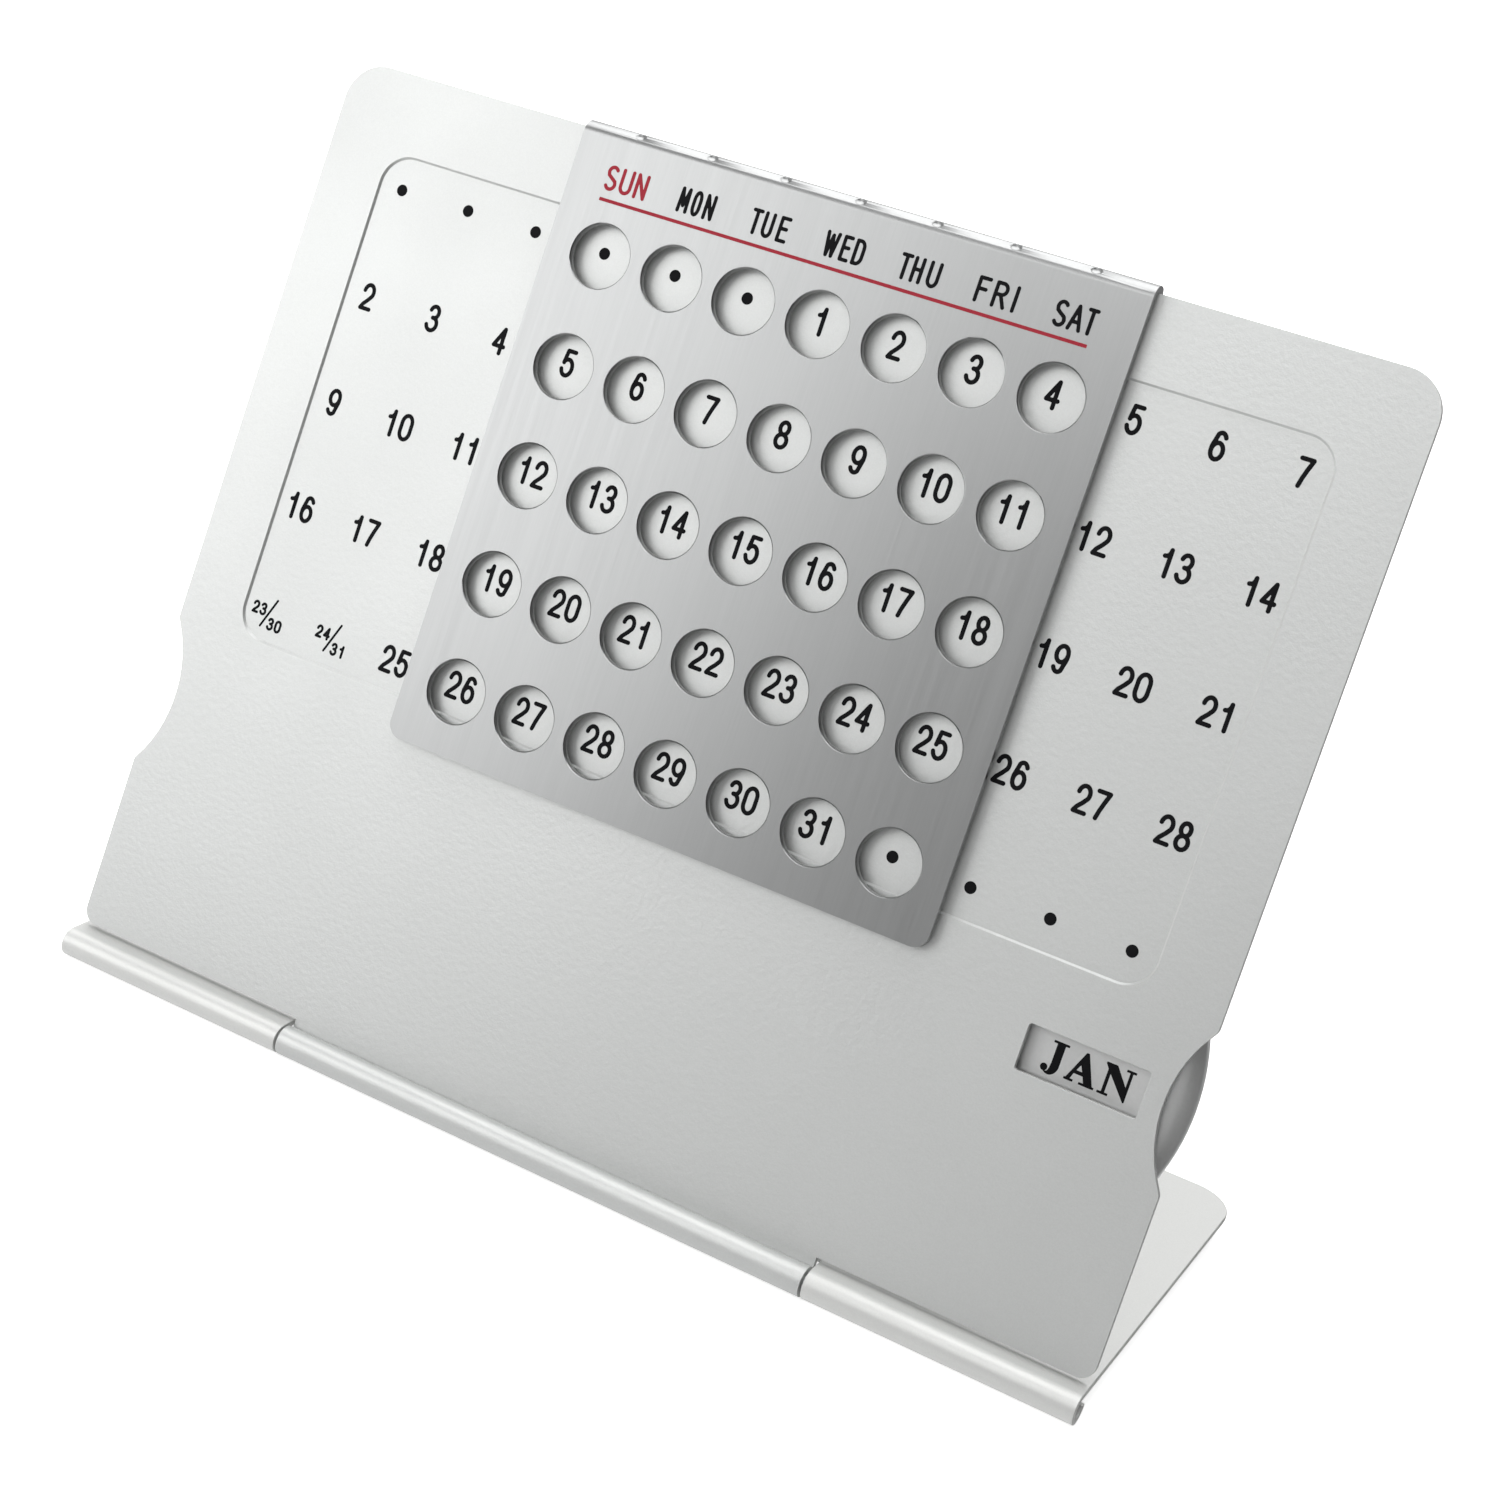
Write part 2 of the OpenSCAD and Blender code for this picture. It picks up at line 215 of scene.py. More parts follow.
def ink_piece(name, placed, matrix, body, material):
    """One mesh of thin ink slabs that rides on a body.

    placed holds (slab, turn, x, y, base) in mm, drawn in the frame of matrix.
    """
    verts, faces = [], []
    for (points, rings, tris), turn, dx, dy, base in placed:
        c, s = math.cos(turn), math.sin(turn)
        n, first = len(points), len(verts)
        flat = [(dx + c * x - s * y, dy + s * x + c * y) for x, y in points]
        verts += [(x * MM, y * MM, (base + INK_T) * MM) for x, y in flat]
        verts += [(x * MM, y * MM, (base - INK_T / 2) * MM) for x, y in flat]
        faces += [[first + i for i in t] for t in tris]
        faces += [[first + n + i for i in reversed(t)] for t in tris]
        for ring in rings:
            for a, b in zip(ring, ring[1:] + ring[:1]):
                faces.append([first + a, first + b, first + n + b, first + n + a])
    mesh = bpy.data.meshes.new(name)
    mesh.from_pydata(verts, [], faces)
    bm = bmesh.new()
    bm.from_mesh(mesh)
    bmesh.ops.recalc_face_normals(bm, faces=bm.faces[:])
    bm.to_mesh(mesh)
    bm.free()
    mesh.materials.append(material)
    obj = bpy.data.objects.new(name, mesh)
    bpy.context.scene.collection.objects.link(obj)
    obj.matrix_world = matrix
    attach(obj, body)


# ---------------------------------------------------------------- stroke letters
def scaled(paths, width, height, stroke):
    """A monoline glyph from paths drawn in a unit box, as a slab with round stroke ends."""
    pad = stroke
    shapes = [
        brush([(x * width, y * height) for x, y in path], [stroke, stroke]) for path in paths
    ]
    return slab_of(trace(join(*shapes), -pad, -pad, width + pad, height + pad, TRACE_STEP))


DIGITS = {
    "0": [arc(0.5, 0.68, 0.5, 0.32, 0, 180) + arc(0.5, 0.32, 0.5, 0.32, 180, 360) + [(1, 0.68)]],
    "1": [[(0.2, 0.735), (0.38, 0.75), (0.52, 0.80), (0.61, 0.89), (0.64, 1.0), (0.64, 0.0)]],
    "2": [
        arc(0.5, 0.71, 0.47, 0.29, 175, -30)
        + [(0.62, 0.38), (0.22, 0.17), (0.03, 0.0), (0.98, 0.0)]
    ],
    "3": [
        arc(0.48, 0.76, 0.42, 0.24, 165, -80) + [(0.42, 0.53)],
        [(0.42, 0.53)] + arc(0.48, 0.27, 0.5, 0.27, 80, -165),
    ],
    "4": [[(0.74, 0.0), (0.74, 1.0), (0.0, 0.29), (1.0, 0.29)]],
    "5": [[(0.92, 1.0), (0.2, 1.0), (0.08, 0.5)] + arc(0.48, 0.33, 0.5, 0.33, 140, -163)],
    "6": [
        arc(0.5, 0.31, 0.48, 0.31, 0, 360),
        arc(0.53, 0.66, 0.45, 0.34, 35, 130) + [(0.1, 0.62), (0.02, 0.45), (0.02, 0.31)],
    ],
    "7": [[(0.02, 1.0), (0.98, 1.0), (0.72, 0.64), (0.5, 0.28), (0.38, 0.0)]],
    "8": [arc(0.5, 0.76, 0.4, 0.24, 0, 360), arc(0.5, 0.26, 0.49, 0.26, 0, 360)],
}
DIGITS["9"] = [[(1 - x, 1 - y) for x, y in path] for path in DIGITS["6"]]

LETTERS = {
    "A": [[(0, 0), (0.5, 1), (1, 0)], [(0.2, 0.32), (0.8, 0.32)]],
    "D": [
        [(0, 0), (0, 1), (0.4, 1)]
        + arc(0.4, 0.7, 0.6, 0.3, 90, 0)
        + arc(0.4, 0.3, 0.6, 0.3, 0, -90)
        + [(0, 0)]
    ],
    "E": [[(1, 1), (0, 1), (0, 0), (1, 0)], [(0, 0.53), (0.85, 0.53)]],
    "F": [[(1, 1), (0, 1), (0, 0)], [(0, 0.53), (0.8, 0.53)]],
    "H": [[(0, 0), (0, 1)], [(1, 0), (1, 1)], [(0, 0.52), (1, 0.52)]],
    "I": [[(0.5, 0), (0.5, 1)]],
    "M": [[(0, 0), (0.08, 1), (0.5, 0.25), (0.92, 1), (1, 0)]],
    "N": [[(0, 0), (0, 1), (1, 0), (1, 1)]],
    "O": [arc(0.5, 0.65, 0.5, 0.35, 0, 180) + arc(0.5, 0.35, 0.5, 0.35, 180, 360) + [(1, 0.65)]],
    "R": [
        [(0, 0), (0, 1), (0.5, 1)] + arc(0.5, 0.755, 0.46, 0.245, 90, -90) + [(0, 0.51)],
        [(0.5, 0.51), (1, 0)],
    ],
    "S": [
        arc(0.5, 0.76, 0.46, 0.24, 35, 180)
        + [(0.12, 0.62), (0.5, 0.50), (0.9, 0.38)]
        + arc(0.5, 0.25, 0.49, 0.25, 0, -150)
    ],
    "T": [[(0, 1), (1, 1)], [(0.5, 1), (0.5, 0)]],
    "U": [[(0, 1)] + arc(0.5, 0.27, 0.5, 0.27, 180, 360) + [(1, 1)]],
    "W": [[(0, 1), (0.25, 0), (0.5, 0.9), (0.75, 0), (1, 1)]],
}

# ---------------------------------------------------------------- serif capitals, cap height 3.7
CAP, STEM, HAIR, SERIF = 3.7, 1.0, 0.4, 0.28


def foot(x0, x1, top=False):
    """A flat serif on the base line, or under the cap line."""
    y = CAP - SERIF if top else 0
    return box(x0, y, x1, y + SERIF)


def stem(x, width=STEM, lap=0.36):
    """An upright with serifs that reach lap beyond it."""
    left, right = x - lap, x + width + lap
    return join(box(x, 0, x + width, CAP), foot(left, right), foot(left, right, True))


def bowl(x, y0, y1, reach):
    """A half ring that bulges to the right from x, thick at its side."""
    cy, ry = (y0 + y1) / 2, (y1 - y0) / 2
    ring = cut(oval(x, cy, reach, ry), oval(x, cy, reach - STEM, ry - HAIR))
    return both(ring, box(x, y0 - 1, x + reach + 1, y1 + 1))


def arm(y, x0, x1, up=0.0, down=0.0):
    """A thin arm with an upright serif at its end."""
    serif = poly((x1 - 0.34, y + HAIR / 2), (x1, y - down), (x1, y + HAIR + up))
    return join(box(x0, y, x1, y + HAIR), serif)


def ring(cx, rx, ry=CAP / 2 + 0.08):
    """The full ring of a round capital, thick at its sides."""
    return cut(oval(cx, CAP / 2, rx, ry), oval(cx, CAP / 2, rx - STEM, ry - HAIR))


CAPITALS = {
    "J": (
        2.55,
        join(
            box(1.11, 0.99, 2.11, CAP),
            foot(0.64, 2.55, True),
            cut(
                oval(1.06, 1.0, 1.05, 1.29),
                oval(0.75, 1.0, 0.34, 0.98),
                box(-1, 0.39, 0.75, 3),
                box(-1, 1.0, 3, 3),
            ),
            oval(0.43, 0.39, 0.43, 0.43),
        ),
    ),
    "A": (
        3.67,
        join(
            cut(
                poly((1.68, CAP), (2.0, CAP), (3.52, 0.1), (0.12, 0.1)),
                poly((1.49, 2.14), (1.86, 1.43), (1.155, 1.43)),
                poly((0.97, 1.0), (2.06, 1.0), (2.4, 0.2), (2.4, -1), (0.7, -1), (0.7, 0.2)),
            ),
            foot(0, 1.13),
            foot(1.82, 3.67),
        ),
    ),
    "N": (
        3.7,
        join(
            box(0.47, 0, 0.88, 3.3),
            foot(0, 1.31),
            foot(2.52, 3.7, True),
            box(2.97, 0.4, 3.34, CAP),
            poly(
                (0.06, CAP),
                (1.38, CAP),
                (3.0, 1.66),
                (3.34, 1.2),
                (3.34, 0),
                (3.2, -0.07),
                (0.5, 2.94),
                (0.06, 3.5),
            ),
        ),
    ),
    "B": (3.2, join(stem(0.36), bowl(1.3, 1.78, CAP, 1.55), bowl(1.3, 0, 2.05, 1.75))),
    "C": (
        3.2,
        join(
            cut(ring(1.75, 1.7), box(2.2, 0.95, 4, 2.55)),
            poly((2.72, 3.3), (3.0, CAP), (3.0, 2.35)),
            poly((2.6, 0.75), (3.05, 1.3), (3.05, 1.05), (2.75, 0.45)),
        ),
    ),
    "D": (3.6, join(stem(0.36), bowl(1.3, 0, CAP, 2.2))),
    "E": (
        3.0,
        join(
            stem(0.36),
            arm(CAP - HAIR, 1, 2.9, down=0.75),
            arm(0, 1, 2.95, up=0.85),
            arm(1.75, 1, 2.1, 0.4, 0.4),
        ),
    ),
    "F": (2.9, join(stem(0.36), arm(CAP - HAIR, 1, 2.85, down=0.75), arm(1.75, 1, 2.1, 0.4, 0.4))),
    "G": (
        3.6,
        join(
            cut(ring(1.75, 1.7), box(2.2, 1.2, 4, 2.55)),
            poly((2.72, 3.3), (3.0, CAP), (3.0, 2.35)),
            box(2.3, 0.35, 3.2, 1.6),
            box(1.95, 1.5, 3.5, 1.75),
        ),
    ),
    "L": (3.0, join(stem(0.36), arm(0, 1, 2.95, up=0.9))),
    "M": (
        4.5,
        join(
            box(0.5, 0, 0.77, 3.4),
            foot(0, 1.25),
            poly((0, CAP), (1.35, CAP), (2.3, 1.2), (2.3, 0), (2.05, 0), (0.5, 3.45), (0, 3.45)),
            poly((2.12, 0), (2.3, 0), (3.5, CAP), (3.2, CAP)),
            box(3.15, 0, 4.1, CAP),
            foot(2.8, 4.5),
            foot(3.2, 4.5, True),
        ),
    ),
    "O": (3.5, ring(1.75, 1.75)),
    "P": (3.1, join(stem(0.36), bowl(1.3, 1.55, CAP, 1.7))),
    "R": (
        3.7,
        join(
            stem(0.36),
            bowl(1.3, 1.7, CAP, 1.6),
            poly((1.45, 1.97), (2.3, 1.85), (3.35, 0), (2.3, 0)),
            foot(2.3, 3.7),
        ),
    ),
    "S": (
        2.6,
        join(
            brush(
                arc(1.25, 2.76, 0.85, 0.8, 60, 180)
                + [(0.6, 2.35), (1.3, 1.9), (2.0, 1.4)]
                + arc(1.25, 0.93, 0.88, 0.8, 0, -125),
                [0.27, 0.3, 0.6, 0.95, 0.6, 0.3, 0.27],
            ),
            poly((1.9, 3.25), (2.2, 3.75), (2.2, 2.55)),
            poly((0.62, 0.4), (0.22, -0.05), (0.22, 1.2)),
        ),
    ),
    "T": (
        3.2,
        join(
            box(1.12, 0, 2.07, CAP),
            foot(0.75, 2.45),
            foot(0.1, 3.1, True),
            poly((0.1, CAP), (0.5, CAP - HAIR), (0.1, 2.6)),
            poly((3.1, CAP), (2.7, CAP - HAIR), (3.1, 2.6)),
        ),
    ),
    "U": (
        3.5,
        join(
            foot(0, 1.65, True),
            foot(2.5, 3.5, True),
            box(0.36, 1.2, 1.3, CAP),
            box(2.87, 1.2, 3.14, CAP),
            both(
                cut(oval(1.75, 1.2, 1.39, 1.28), oval(2.085, 1.2, 0.785, 1.0)),
                box(0, -1, 4, 1.21),
            ),
        ),
    ),
    "V": (
        3.6,
        join(
            poly(
                (0.35, CAP),
                (1.45, CAP),
                (2.2, 1.05),
                (3.0, CAP),
                (3.3, CAP),
                (2.0, -0.08),
                (1.75, -0.08),
            ),
            foot(0, 1.75, True),
            foot(2.5, 3.6, True),
        ),
    ),
    "Y": (
        3.6,
        join(
            poly(
                (0.35, CAP),
                (1.45, CAP),
                (2.15, 2.1),
                (3.0, CAP),
                (3.3, CAP),
                (2.25, 1.6),
                (1.3, 1.6),
            ),
            box(1.3, 0, 2.25, 1.7),
            foot(0.95, 2.6),
            foot(0, 1.75, True),
            foot(2.5, 3.6, True),
        ),
    ),
}


# ---------------------------------------------------------------- materials
def shader(name, color, metallic, roughness, **more):
    """A Principled material with values on its own sockets, and its node tree."""
    mat = bpy.data.materials.new(name)
    mat.use_nodes = True
    bsdf = mat.node_tree.nodes["Principled BSDF"]
    bsdf.inputs["Base Color"].default_value = (*color, 1)
    bsdf.inputs["Metallic"].default_value = metallic
    bsdf.inputs["Roughness"].default_value = roughness
    for socket, value in more.items():
        bsdf.inputs[socket.replace("_", " ")].default_value = value
    return mat, mat.node_tree, bsdf


def coords(tree, scale, turn=(0, 0, 0)):
    """Object coordinates turned into a local frame, then scaled per axis (repeats per metre)."""
    where = tree.nodes.new("ShaderNodeTexCoord")
    spin = tree.nodes.new("ShaderNodeMapping")
    spin.inputs["Rotation"].default_value = turn
    size = tree.nodes.new("ShaderNodeMapping")
    size.inputs["Scale"].default_value = scale
    tree.links.new(where.outputs["Object"], spin.inputs["Vector"])
    tree.links.new(spin.outputs["Vector"], size.inputs["Vector"])
    return size.outputs["Vector"]


def noise(tree, vector, detail=2.0, rough=0.5):
    """A noise texture that varies around 0.5."""
    node = tree.nodes.new("ShaderNodeTexNoise")
    node.inputs["Scale"].default_value = 1.0
    node.inputs["Detail"].default_value = detail
    node.inputs["Roughness"].default_value = rough
    tree.links.new(vector, node.inputs["Vector"])
    return node.outputs["Fac"]


def bump(tree, bsdf, height, strength, distance, under=None):
    """Sets a bump on the shader, on top of the normal of an earlier one."""
    node = tree.nodes.new("ShaderNodeBump")
    node.inputs["Strength"].default_value = strength
    node.inputs["Distance"].default_value = distance
    tree.links.new(height, node.inputs["Height"])
    if under is not None:
        tree.links.new(under, node.inputs["Normal"])
    tree.links.new(node.outputs["Normal"], bsdf.inputs["Normal"])
    return node.outputs["Normal"]


NOISE_SPAN = (0.3, 0.7)  # where nearly all of a noise texture's values lie


def remap(tree, value, span, low, high):
    """A value that goes from low to high while the given one goes over its span."""
    node = tree.nodes.new("ShaderNodeMapRange")
    node.inputs["From Min"].default_value, node.inputs["From Max"].default_value = span
    node.inputs["To Min"].default_value = low
    node.inputs["To Max"].default_value = high
    tree.links.new(value, node.inputs["Value"])
    return node.outputs["Result"]


def vary(tree, fac, low, high, target):
    """Maps a noise texture onto a socket between two values."""
    tree.links.new(remap(tree, fac, NOISE_SPAN, low, high), target)


def tint(tree, fac, base, dark, light, target):
    """Maps a noise texture onto a colour socket, from base times dark to base times light."""
    ramp = tree.nodes.new("ShaderNodeValToRGB")
    for stop, place, share in zip(ramp.color_ramp.elements, NOISE_SPAN, (dark, light)):
        stop.position = place
        stop.color = (*(min(1, c * share) for c in base), 1)
    tree.links.new(fac, ramp.inputs["Fac"])
    tree.links.new(ramp.outputs["Color"], target)


PANEL_TURN = (-(math.pi / 2 - LEAN), 0, 0)  # row frame to panel frame
# Repeats per metre. The brushed grain is long and thin, and runs up the panel.
PEEL_SCALE, FLAKE_SCALE, SATIN_CLOUD, GRAIN_CLOUD = 1400, 5200, 35, 120
GRAIN_SCALE, STREAK_SCALE = (6000, 110, 6000), (1500, 22, 1500)


def satin(name, base, roughness, peel, metal):
    """Satin silver lacquer: a fine orange peel over metal flake."""
    mat, tree, bsdf = shader(name, base, metal, roughness)
    skin = noise(tree, coords(tree, [PEEL_SCALE] * 3), 3.0, 0.55)
    fine = noise(tree, coords(tree, [FLAKE_SCALE] * 3), 1.0)
    first = bump(tree, bsdf, skin, peel, 0.0004)
    bump(tree, bsdf, fine, peel * 0.7, 0.0001, first)
    cloud = noise(tree, coords(tree, [SATIN_CLOUD] * 3))
    vary(tree, cloud, roughness - 0.03, roughness + 0.03, bsdf.inputs["Roughness"])
    tint(tree, fine, base, 0.975, 1.015, bsdf.inputs["Base Color"])
    return mat


def brushed(name, base, roughness):
    """Bare metal with a fine straight grain."""
    mat, tree, bsdf = shader(name, base, 1.0, roughness)
    grain = noise(tree, coords(tree, GRAIN_SCALE, PANEL_TURN))
    streak = noise(tree, coords(tree, STREAK_SCALE, PANEL_TURN))
    first = bump(tree, bsdf, grain, 0.035, 0.0001)
    bump(tree, bsdf, streak, 0.006, 0.0002, first)
    vary(tree, streak, roughness - 0.015, roughness + 0.02, bsdf.inputs["Roughness"])
    tint(tree, grain, base, 0.98, 1.02, bsdf.inputs["Base Color"])
    return mat


def grained(name, base, metallic, roughness, scale, strength, spread=0.05, gloss=0.5):
    """An even fine grain with scale repeats per metre, and a colour that varies by spread."""
    mat, tree, bsdf = shader(name, base, metallic, roughness, Specular_IOR_Level=gloss)
    fine = noise(tree, coords(tree, [scale] * 3), 3.0, 0.55)
    bump(tree, bsdf, fine, strength, 0.0002)
    cloud = noise(tree, coords(tree, [GRAIN_CLOUD] * 3))
    vary(tree, cloud, roughness - 0.04, roughness + 0.05, bsdf.inputs["Roughness"])
    tint(tree, fine, base, 1 - spread, 1 + spread, bsdf.inputs["Base Color"])
    return mat


MATERIALS = {
    "panel_satin": satin("panel_satin", (0.622, 0.632, 0.624), 0.46, 0.1, 0.7),
    "leg_satin": satin("leg_satin", (0.68, 0.685, 0.672), 0.48, 0.04, 0.6),
    "slider_brushed": brushed("slider_brushed", (0.39, 0.395, 0.395), 0.32),
    "dial_silver": grained("dial_silver", (0.72, 0.725, 0.72), 0.75, 0.34, 2500, 0.05, 0.02),
    "pin_steel": grained("pin_steel", (0.55, 0.56, 0.57), 1.0, 0.3, 2500, 0.08),
    "spring_steel": grained("spring_steel", (0.20, 0.21, 0.23), 1.0, 0.34, 1800, 0.1),
    "washer_nylon": grained("washer_nylon", (0.80, 0.80, 0.76), 0.0, 0.5, 1500, 0.08, 0.02),
    "foot_rubber": grained("foot_rubber", (0.018, 0.018, 0.019), 0.0, 0.68, 2200, 0.25, 0.15),
}
black_ink = grained("black_ink", (0.004, 0.004, 0.005), 0.0, 0.6, 3000, 0.12, 0.1, 0.1)
red_ink = grained("red_ink", (0.30, 0.010, 0.024), 0.0, 0.55, 3000, 0.12, 0.08, 0.3)

slot_of = {s["node"]: s["material_slot"] for s in frame["record"]["subparts"]}
for node, obj in NODES.items():
    obj.data.materials.clear()
    obj.data.materials.append(MATERIALS[slot_of[node]])

# ---------------------------------------------------------------- broken sheet edges
EDGE_BREAK = {
    "front_panel": 0.12,
    "rear_leg": 0.12,
    "date_slider": 0.2,
    "month_dial": 0.15,
    "hinge_pin": 0.15,
}
SHARPER_THAN = math.radians(55)
FLATTER_THAN = math.radians(0.4)
WELD_WITHIN = 0.01


def break_edges(node, width):
    """Rounds a node's sharp edges, with flat faces joined first so that they shade flat."""
    obj = NODES[node]
    weld = obj.modifiers.new("weld", "WELD")
    weld.merge_threshold = WELD_WITHIN * MM
    flat = obj.modifiers.new("flat", "DECIMATE")
    flat.decimate_type = "DISSOLVE"
    flat.angle_limit = FLATTER_THAN
    bevel = obj.modifiers.new("edge", "BEVEL")
    bevel.width = width * MM
    bevel.segments = 3
    bevel.limit_method = "ANGLE"
    bevel.angle_limit = SHARPER_THAN
    bevel.face_strength_mode = "FSTR_AFFECTED"
    even = obj.modifiers.new("even", "WEIGHTED_NORMAL")
    even.mode = "FACE_AREA"
    even.weight = 100
    even.keep_sharp = True
    even.use_face_influence = True


# ---------------------------------------------------------------- print on the number field
DIGIT_W, DIGIT_H, DIGIT_STROKE, ADVANCE = 1.42, 3.03, 0.53, 2.22
DOT_R = 0.74
digit = {k: scaled(p, DIGIT_W, DIGIT_H, DIGIT_STROKE) for k, p in DIGITS.items()}
dot = slab_of(trace(oval(0, 0, DOT_R, DOT_R), -1, -1, 1, 1, TRACE_STEP))
SMALL_W, SMALL_H, SMALL_STROKE, SMALL_ADVANCE = 0.70, 1.35, 0.34, 1.17
small = {k: scaled(p, SMALL_W, SMALL_H, SMALL_STROKE) for k, p in DIGITS.items()}
SLASH_W = 0.3
slash_stroke = brush([(-0.33, -2.05), (1.15, 1.72)], [SLASH_W, SLASH_W])
slash = slab_of(trace(slash_stroke, -1, -3, 2, 3, TRACE_STEP))
UPPER, LOWER = (-1.12, 0.1), (1.68, -1.42)  # the two numbers of a split cell, from its centre


def number(text, u, v, glyphs=digit, width=DIGIT_W, height=DIGIT_H, advance=ADVANCE):
    """The digits of a number centred on (u, v) on the field face."""
    left = u - ((len(text) - 1) * advance + width) / 2
    low = v - height / 2
    return [(glyphs[ch], 0, left + k * advance, low, FIELD_FACE) for k, ch in enumerate(text)]


COLS, ROWS, WEEK, MONTH_END = 13, 5, 7, 31
MIDDLE_COL, FIRST_DAY_COL = 6, 6
field_print = []
for col in range(COLS):
    for row in range(ROWS):
        u, v = (col - MIDDLE_COL) * COL_PITCH, FIRST_ROW - row * ROW_PITCH
        day = row * WEEK + col - FIRST_DAY_COL + 1
        if day < 1 or day > MONTH_END:
            field_print.append((dot, 0, u, v, FIELD_FACE))
        elif row == ROWS - 1 and day + WEEK <= MONTH_END:
            for text, (du, dv) in ((day, UPPER), (day + WEEK, LOWER)):
                at = (u + du, v + dv)
                field_print += number(str(text), *at, small, SMALL_W, SMALL_H, SMALL_ADVANCE)
            field_print.append((slash, 0, u, v, FIELD_FACE))
        else:
            field_print += number(str(day), u, v)
ink_piece("field_numbers", field_print, PANEL, "panel", black_ink)

# ---------------------------------------------------------------- print on the slider
NAME_H, NAME_STROKE = 2.68, 0.45
NAME_LOW = 112.6
DAY_NAMES = [
    ("SUN", -29.28, [(-2.93, -1.2), (-0.85, 0.9), (1.25, 2.93)]),
    ("MON", -19.45, [(-2.47, -0.95), (-0.6, 0.67), (1.09, 2.47)]),
    ("TUE", -9.48, [(-2.61, -1.15), (-0.91, 0.55), (1.17, 2.61)]),
    ("WED", 0.53, [(-2.65, -0.8), (-0.41, 0.9), (1.22, 2.65)]),
    ("THU", 10.35, [(-2.65, -1.15), (-0.95, 0.47), (1.07, 2.65)]),
    ("FRI", 20.20, [(-2.58, -0.95), (-0.4, 1.4), (2.15, 2.58)]),
    ("SAT", 30.01, [(-2.61, -0.95), (-0.75, 1.03), (1.19, 2.61)]),
]


def day_name(text, mid, spans):
    """The letters of a day name, each between its two ends as measured from the name's middle."""
    placed = []
    for ch, (x0, x1) in zip(text, spans):
        half = NAME_STROKE / 2
        glyph = scaled(LETTERS[ch], x1 - x0 - NAME_STROKE, NAME_H, NAME_STROKE)
        placed.append((glyph, 0, mid + x0 + half, NAME_LOW, SLIDER_FACE))
    return placed


sunday = day_name(*DAY_NAMES[0])
RULE = (-32.14, 111.01, 32.39, 111.43)
rule = slab_of(trace(box(*RULE), -32.3, 110.8, 32.5, 111.6, RULE_STEP))
sunday.append((rule, 0, 0, 0, SLIDER_FACE))
ink_piece("sunday_and_rule", sunday, PANEL, "slider", red_ink)
weekdays = [g for entry in DAY_NAMES[1:] for g in day_name(*entry)]
ink_piece("weekday_names", weekdays, PANEL, "slider", black_ink)

# ---------------------------------------------------------------- print on the dial
MONTHS = ("JAN", "FEB", "MAR", "APR", "MAY", "JUN", "JUL", "AUG", "SEP", "OCT", "NOV", "DEC")
MONTH_IN, MONTH_SPAN, MONTH_GAP = 9.21, 10.72, 0.4  # from the dial's centre, along its radius
MONTH_LOW = -CAP / 2 - 0.04
capital = {}
for ch in sorted(set("".join(MONTHS))):
    width, shape = CAPITALS[ch]
    capital[ch] = slab_of(trace(shape, -0.4, -0.5, width + 0.6, CAP + 0.5, CAP_STEP))
month_print = []
for k, name in enumerate(MONTHS):
    turn = -k * math.tau / len(MONTHS)
    total = sum(CAPITALS[ch][0] for ch in name) + MONTH_GAP * (len(name) - 1)
    x = MONTH_IN + (MONTH_SPAN - total) / 2
    c, s = math.cos(turn), math.sin(turn)
    for ch in name:
        u = DIAL_CENTRE[0] + c * x - s * MONTH_LOW
        v = DIAL_CENTRE[1] + s * x + c * MONTH_LOW
        month_print.append((capital[ch], turn, u, v, DIAL_FACE))
        x += CAPITALS[ch][0] + MONTH_GAP
ink_piece("month_names", month_print, PANEL, "dial", black_ink)

for node, width in EDGE_BREAK.items():
    break_edges(node, width)

# ---------------------------------------------------------------- camera
# Fitted to the printed grid of the photograph: place in mm and directions, in the panel frame
CAMERA_PLACE = (127.08, 85.20, 291.6)
CAMERA_VIEW = Vector((-0.3719, -0.0950, -0.9234))
CAMERA_UP = Vector((-0.3336, 0.9420, 0.0374))
LENS, SENSOR = 64.66, 36

camera_data = bpy.data.cameras.new("camera")
camera_data.lens = LENS
camera_data.sensor_width = SENSOR
camera_data.clip_start = 0.01
camera = bpy.data.objects.new("camera", camera_data)
bpy.context.scene.collection.objects.link(camera)
right = CAMERA_VIEW.cross(CAMERA_UP)
aim = Matrix((right.normalized(), CAMERA_UP.normalized(), -CAMERA_VIEW.normalized())).transposed()
place = Matrix.Translation(panel_point(*CAMERA_PLACE))
camera.matrix_world = place @ PANEL.to_3x3().to_4x4() @ aim.to_4x4()
bpy.context.scene.camera = camera

# ---------------------------------------------------------------- floor
scene = bpy.context.scene
scene.view_settings.view_transform = "Standard"

FLOOR_REACH = 4
FLOOR_DROP = 0.00002  # keeps the floor clear of the faces that rest on it
FLOOR_COLOR = (0.9, 0.9, 0.9)
GLOW_SPAN = (0.2, 0.9)  # the floor glows more with distance, so that it ends in pure white
GLOW_NEAR, GLOW_FAR = 0.55, 0.95

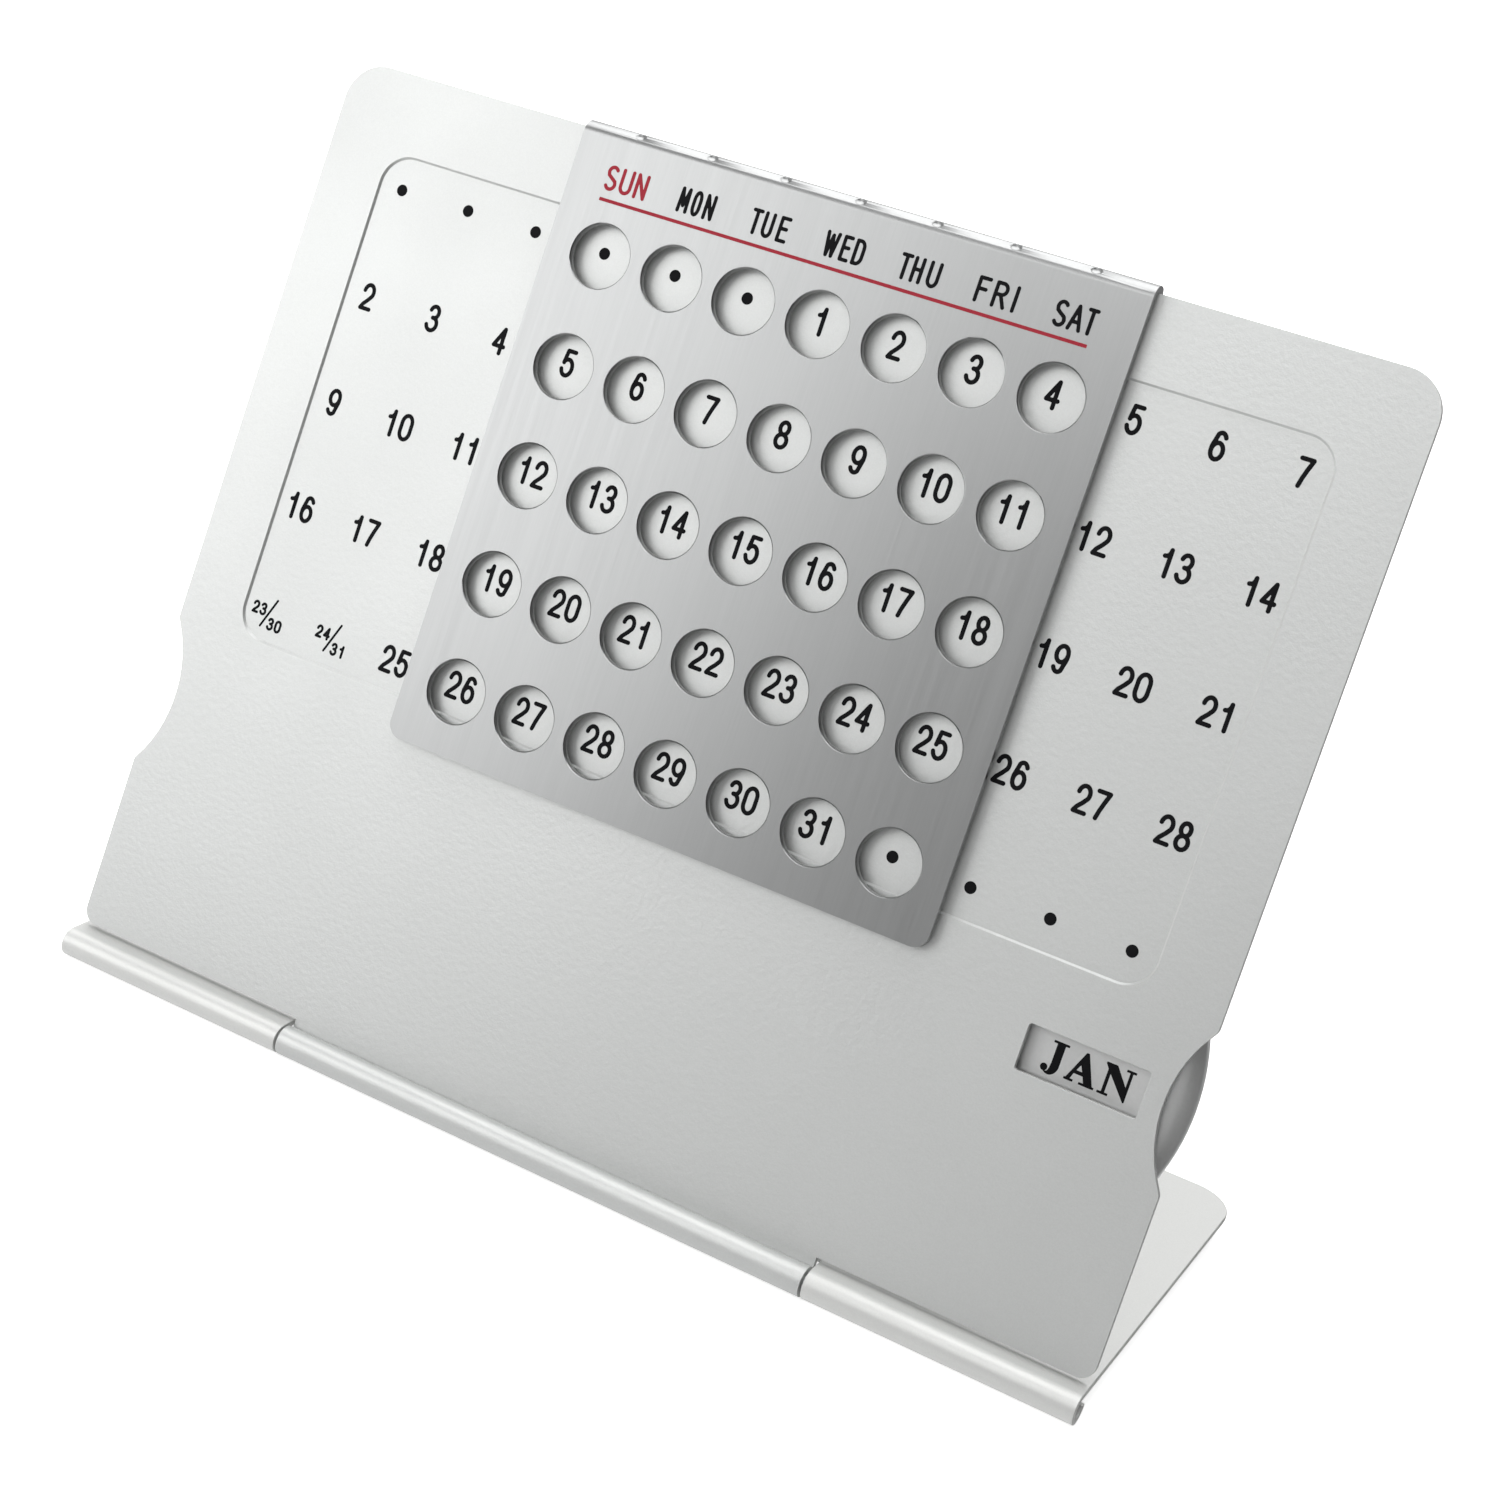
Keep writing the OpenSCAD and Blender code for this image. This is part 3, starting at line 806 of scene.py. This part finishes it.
corners = [(x * FLOOR_REACH, y * FLOOR_REACH, 0) for x, y in ((-1, -1), (1, -1), (1, 1), (-1, 1))]
floor_mesh = bpy.data.meshes.new("floor")
floor_mesh.from_pydata(corners, [], [(0, 1, 2, 3)])
floor = bpy.data.objects.new("floor", floor_mesh)
scene.collection.objects.link(floor)
floor.location.z = -FLOOR_DROP
floor.visible_glossy = False
floor_mat, floor_tree, floor_bsdf = shader(
    "floor", FLOOR_COLOR, 0.0, 0.9, Emission_Color=(1, 1, 1, 1)
)
reach = floor_tree.nodes.new("ShaderNodeVectorMath")
reach.operation = "LENGTH"
floor_tree.links.new(coords(floor_tree, (1, 1, 1)), reach.inputs[0])
glow = remap(floor_tree, reach.outputs["Value"], GLOW_SPAN, GLOW_NEAR, GLOW_FAR)
floor_tree.links.new(glow, floor_bsdf.inputs["Emission Strength"])
floor_mesh.materials.append(floor_mat)

# ---------------------------------------------------------------- room
# Reflections see a pale lower half, which stands in for the floor, a dimmer upper half, a bright
# left end and a dark right side. Each row: direction axis, its span, brightness at both ends.
ROOM_HEIGHT = ("Z", (-0.12, 0.04), 0.70, 0.28)
ROOM_RIGHT = ("X", (0.05, 0.55), 1.0, 0.1)
ROOM_LEFT = ("X", (-0.68, -0.92), 1.0, 2.4)

world = bpy.data.worlds.new("studio")
world.use_nodes = True
room = world.node_tree
direction = room.nodes.new("ShaderNodeTexCoord")
split = room.nodes.new("ShaderNodeSeparateXYZ")
room.links.new(direction.outputs["Generated"], split.inputs["Vector"])


def room_blend(axis, span, low, high):
    return remap(room, split.outputs[axis], span, low, high)


def room_product(first, second):
    node = room.nodes.new("ShaderNodeMath")
    node.operation = "MULTIPLY"
    room.links.new(first, node.inputs[0])
    room.links.new(second, node.inputs[1])
    return node.outputs["Value"]


sides = room_product(room_blend(*ROOM_RIGHT), room_blend(*ROOM_LEFT))
brightness = room_product(room_blend(*ROOM_HEIGHT), sides)
room.links.new(brightness, room.nodes["Background"].inputs["Strength"])
room.nodes["Background"].inputs["Color"].default_value = (1, 1, 1, 1)
scene.world = world


# ---------------------------------------------------------------- lights
def area_light(name, place, target, size, radiance):
    """A soft box, in metres. radiance is what its face gives off, whatever its size."""
    data = bpy.data.lights.new(name, "AREA")
    data.shape = "RECTANGLE"
    data.size, data.size_y = size
    data.energy = radiance * size[0] * size[1] * math.pi
    obj = bpy.data.objects.new(name, data)
    scene.collection.objects.link(obj)
    obj.location = place
    obj.rotation_euler = (Vector(target) - Vector(place)).to_track_quat("-Z", "Y").to_euler()


area_light("key", (-0.32, -0.37, 0.235), (-0.05, -0.05, 0.1), (0.3, 0.38), 2.15)
area_light("front", (0.02, -0.46, 0.46), (0, -0.03, 0.05), (0.4, 0.3), 1.85)
area_light("top", (-0.1, 0.25, 1.1), (0, 0, 0), (1.4, 1.2), 2.4)
area_light("back", (-0.35, 1.0, 0.55), (0, 0, 0.02), (1.4, 0.9), 0.66)
